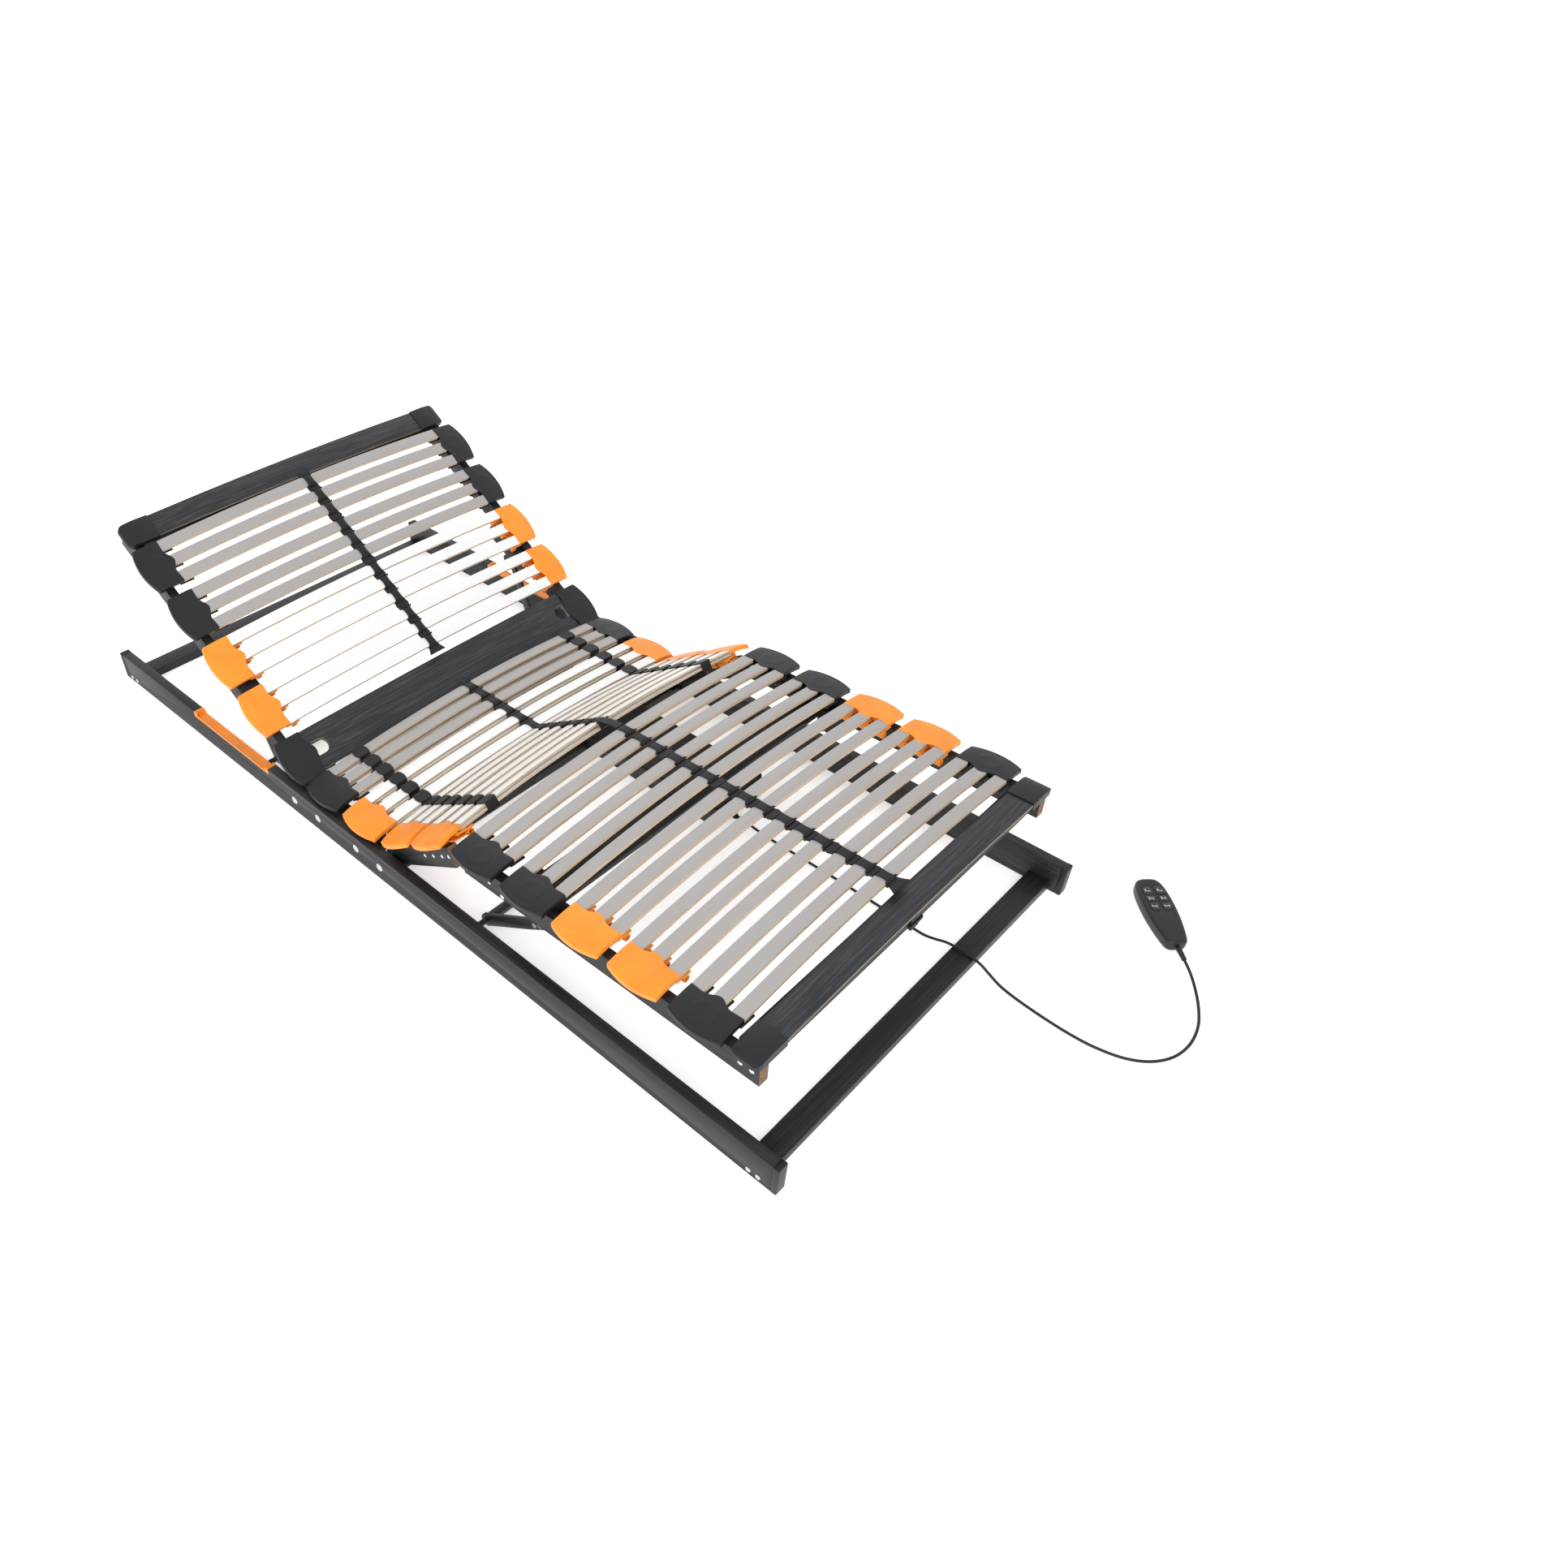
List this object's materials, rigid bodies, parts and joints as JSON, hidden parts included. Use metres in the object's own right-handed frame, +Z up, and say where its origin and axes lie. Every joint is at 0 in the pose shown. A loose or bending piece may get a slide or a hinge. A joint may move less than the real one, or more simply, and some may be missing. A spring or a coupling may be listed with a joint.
{
  "type": "adjustable bed base",
  "caption": "Slatted bed base on a low floor frame, with a lifting back, a folding thigh and calf section, a flat motor drive and a corded handset.",
  "frame": {"origin": "middle of the underside of the middle cross beam, on the floor, in the middle of the floor frame", "axes": "X is the width with the left side rail at minus X, plus Y runs along the bed to the head end, plus Z is up"},
  "size_m": [1.0069, 2.2886, 0.4555],
  "materials": {
    "anthracite_wood": "dark grey foil with a fine wood grain over laminated wood",
    "grey_slat": "grey foil on bent beech layers, tan edges",
    "white_slat": "white foil on bent beech layers, tan edges",
    "black_plastic": "soft matte black moulding",
    "orange_plastic": "orange moulding, satin",
    "strap_black": "black flexible strap",
    "bright_steel": "zinc plated",
    "black_steel": "black powder coat",
    "drive_plastic": "textured black moulding",
    "handset_plastic": "fine textured black moulding",
    "button_black": "gloss black with white pictograms",
    "cable_black": "black cable sheath"
  },
  "bodies": {
    "base": {"base_rails": "anthracite_wood", "end_beams": "anthracite_wood", "middle_beam": "anthracite_wood", "rail_end_caps": "black_plastic", "trough_liners": "orange_plastic", "seat_rails": "anthracite_wood", "base_bolts": "bright_steel", "rail_spacers": "black_plastic", "lever_bearings": "black_plastic", "seat_caps_black": "black_plastic", "seat_caps_orange": "orange_plastic", "seat_slats_grey": "grey_slat", "seat_slats_white": "white_slat", "seat_strap": "strap_black", "drive_housing": "drive_plastic", "handset_lower": "handset_plastic", "handset_upper": "handset_plastic", "strain_relief": "handset_plastic", "handset_cable": "cable_black", "handset_plug": "cable_black"},
    "back": {"back_rails": "anthracite_wood", "back_cross_rail": "anthracite_wood", "head_board": "anthracite_wood", "head_board_caps": "black_plastic", "back_caps_black": "black_plastic", "back_caps_orange": "orange_plastic", "hip_board": "anthracite_wood", "back_slats_grey": "grey_slat", "back_slats_white": "white_slat", "back_strap": "strap_black", "back_lift_shoes": "black_plastic"},
    "thigh": {"thigh_rails": "anthracite_wood", "thigh_caps": "orange_plastic", "thigh_slats": "white_slat", "thigh_strap": "strap_black", "thigh_hinge_leaves": "black_steel", "thigh_rivets": "bright_steel"},
    "calf": {"calf_rails": "anthracite_wood", "calf_cross_rails": "anthracite_wood", "foot_board": "anthracite_wood", "foot_board_caps": "black_plastic", "calf_caps_black": "black_plastic", "calf_caps_orange": "orange_plastic", "calf_slats": "grey_slat", "calf_strap": "strap_black", "calf_hinge_leaves": "black_steel", "calf_lift_shoes": "black_plastic", "calf_screws": "bright_steel"},
    "back_lever": {"back_lever": "black_steel"},
    "leg_lever": {"leg_lever": "black_steel"},
    "seat_sliders_left": {"seat_sliders_left": "black_plastic"},
    "seat_sliders_right": {"seat_sliders_right": "black_plastic"},
    "thigh_sliders_left": {"thigh_sliders_left": "black_plastic"},
    "thigh_sliders_right": {"thigh_sliders_right": "black_plastic"},
    "button_back_up": {"button_back_up": "button_black"},
    "button_back_down": {"button_back_down": "button_black"},
    "button_both_up": {"button_both_up": "button_black"},
    "button_both_down": {"button_both_down": "button_black"},
    "button_legs_up": {"button_legs_up": "button_black"},
    "button_legs_down": {"button_legs_down": "button_black"}
  },
  "joints": [
    {"name": "back_lift", "type": "hinge", "parent": "base", "child": "back", "pos_m": [0, 0.272, 0.033], "axis": [1, 0, 0], "range_deg": [-33.4, 10]},
    {"name": "thigh_lift", "type": "hinge", "parent": "base", "child": "thigh", "pos_m": [0, -0.012, 0.033], "axis": [-1, 0, 0], "range_deg": [-32, 0.6]},
    {"name": "knee_fold", "type": "hinge", "parent": "thigh", "child": "calf", "pos_m": [0, -0.23016, 0.16696], "axis": [-1, 0, 0], "range_deg": [-0.6, 31]},
    {"name": "back_lever_turn", "type": "hinge", "parent": "base", "child": "back_lever", "pos_m": [0, 0.4359, 0.014], "axis": [1, 0, 0], "range_deg": [-67, 20.2]},
    {"name": "leg_lever_turn", "type": "hinge", "parent": "base", "child": "leg_lever", "pos_m": [0, -0.25, 0.014], "axis": [-1, 0, 0], "range_deg": [-33.6, 0.7]},
    {"name": "seat_sliders_left_move", "type": "hinge", "parent": "base", "child": "seat_sliders_left", "pos_m": [0, 0, -3.16922], "axis": [0, 1, 0], "range_deg": [-0.2, 1.75]},
    {"name": "seat_sliders_right_move", "type": "hinge", "parent": "base", "child": "seat_sliders_right", "pos_m": [0, 0, -3.16922], "axis": [0, -1, 0], "range_deg": [-0.2, 1.75]},
    {"name": "thigh_sliders_left_move", "type": "hinge", "parent": "thigh", "child": "thigh_sliders_left", "pos_m": [0, -1.70892, -2.68264], "axis": [0, 0.848, -0.5299], "range_deg": [-0.2, 1.75]},
    {"name": "thigh_sliders_right_move", "type": "hinge", "parent": "thigh", "child": "thigh_sliders_right", "pos_m": [0, -1.70892, -2.68264], "axis": [0, -0.848, 0.5299], "range_deg": [-0.2, 1.75]},
    {"name": "button_back_up_press", "type": "slide", "parent": "base", "child": "button_back_up", "axis": [0, 0, -1], "range_m": [0, 0.0011], "stiffness_N_per_m": 600, "springref_m": -0.0015},
    {"name": "button_back_down_press", "type": "slide", "parent": "base", "child": "button_back_down", "axis": [0, 0, -1], "range_m": [0, 0.0011], "stiffness_N_per_m": 600, "springref_m": -0.0015},
    {"name": "button_both_up_press", "type": "slide", "parent": "base", "child": "button_both_up", "axis": [0, 0, -1], "range_m": [0, 0.0011], "stiffness_N_per_m": 600, "springref_m": -0.0015},
    {"name": "button_both_down_press", "type": "slide", "parent": "base", "child": "button_both_down", "axis": [0, 0, -1], "range_m": [0, 0.0011], "stiffness_N_per_m": 600, "springref_m": -0.0015},
    {"name": "button_legs_up_press", "type": "slide", "parent": "base", "child": "button_legs_up", "axis": [0, 0, -1], "range_m": [0, 0.0011], "stiffness_N_per_m": 600, "springref_m": -0.0015},
    {"name": "button_legs_down_press", "type": "slide", "parent": "base", "child": "button_legs_down", "axis": [0, 0, -1], "range_m": [0, 0.0011], "stiffness_N_per_m": 600, "springref_m": -0.0015}
  ],
  "couplings": [
    {"joint": "knee_fold", "follows": "thigh_lift", "ratio": -0.96031},
    {"joint": "back_lever_turn", "follows": "back_lift", "ratio": 2},
    {"joint": "leg_lever_turn", "follows": "thigh_lift", "ratio": 1.045}
  ]
}
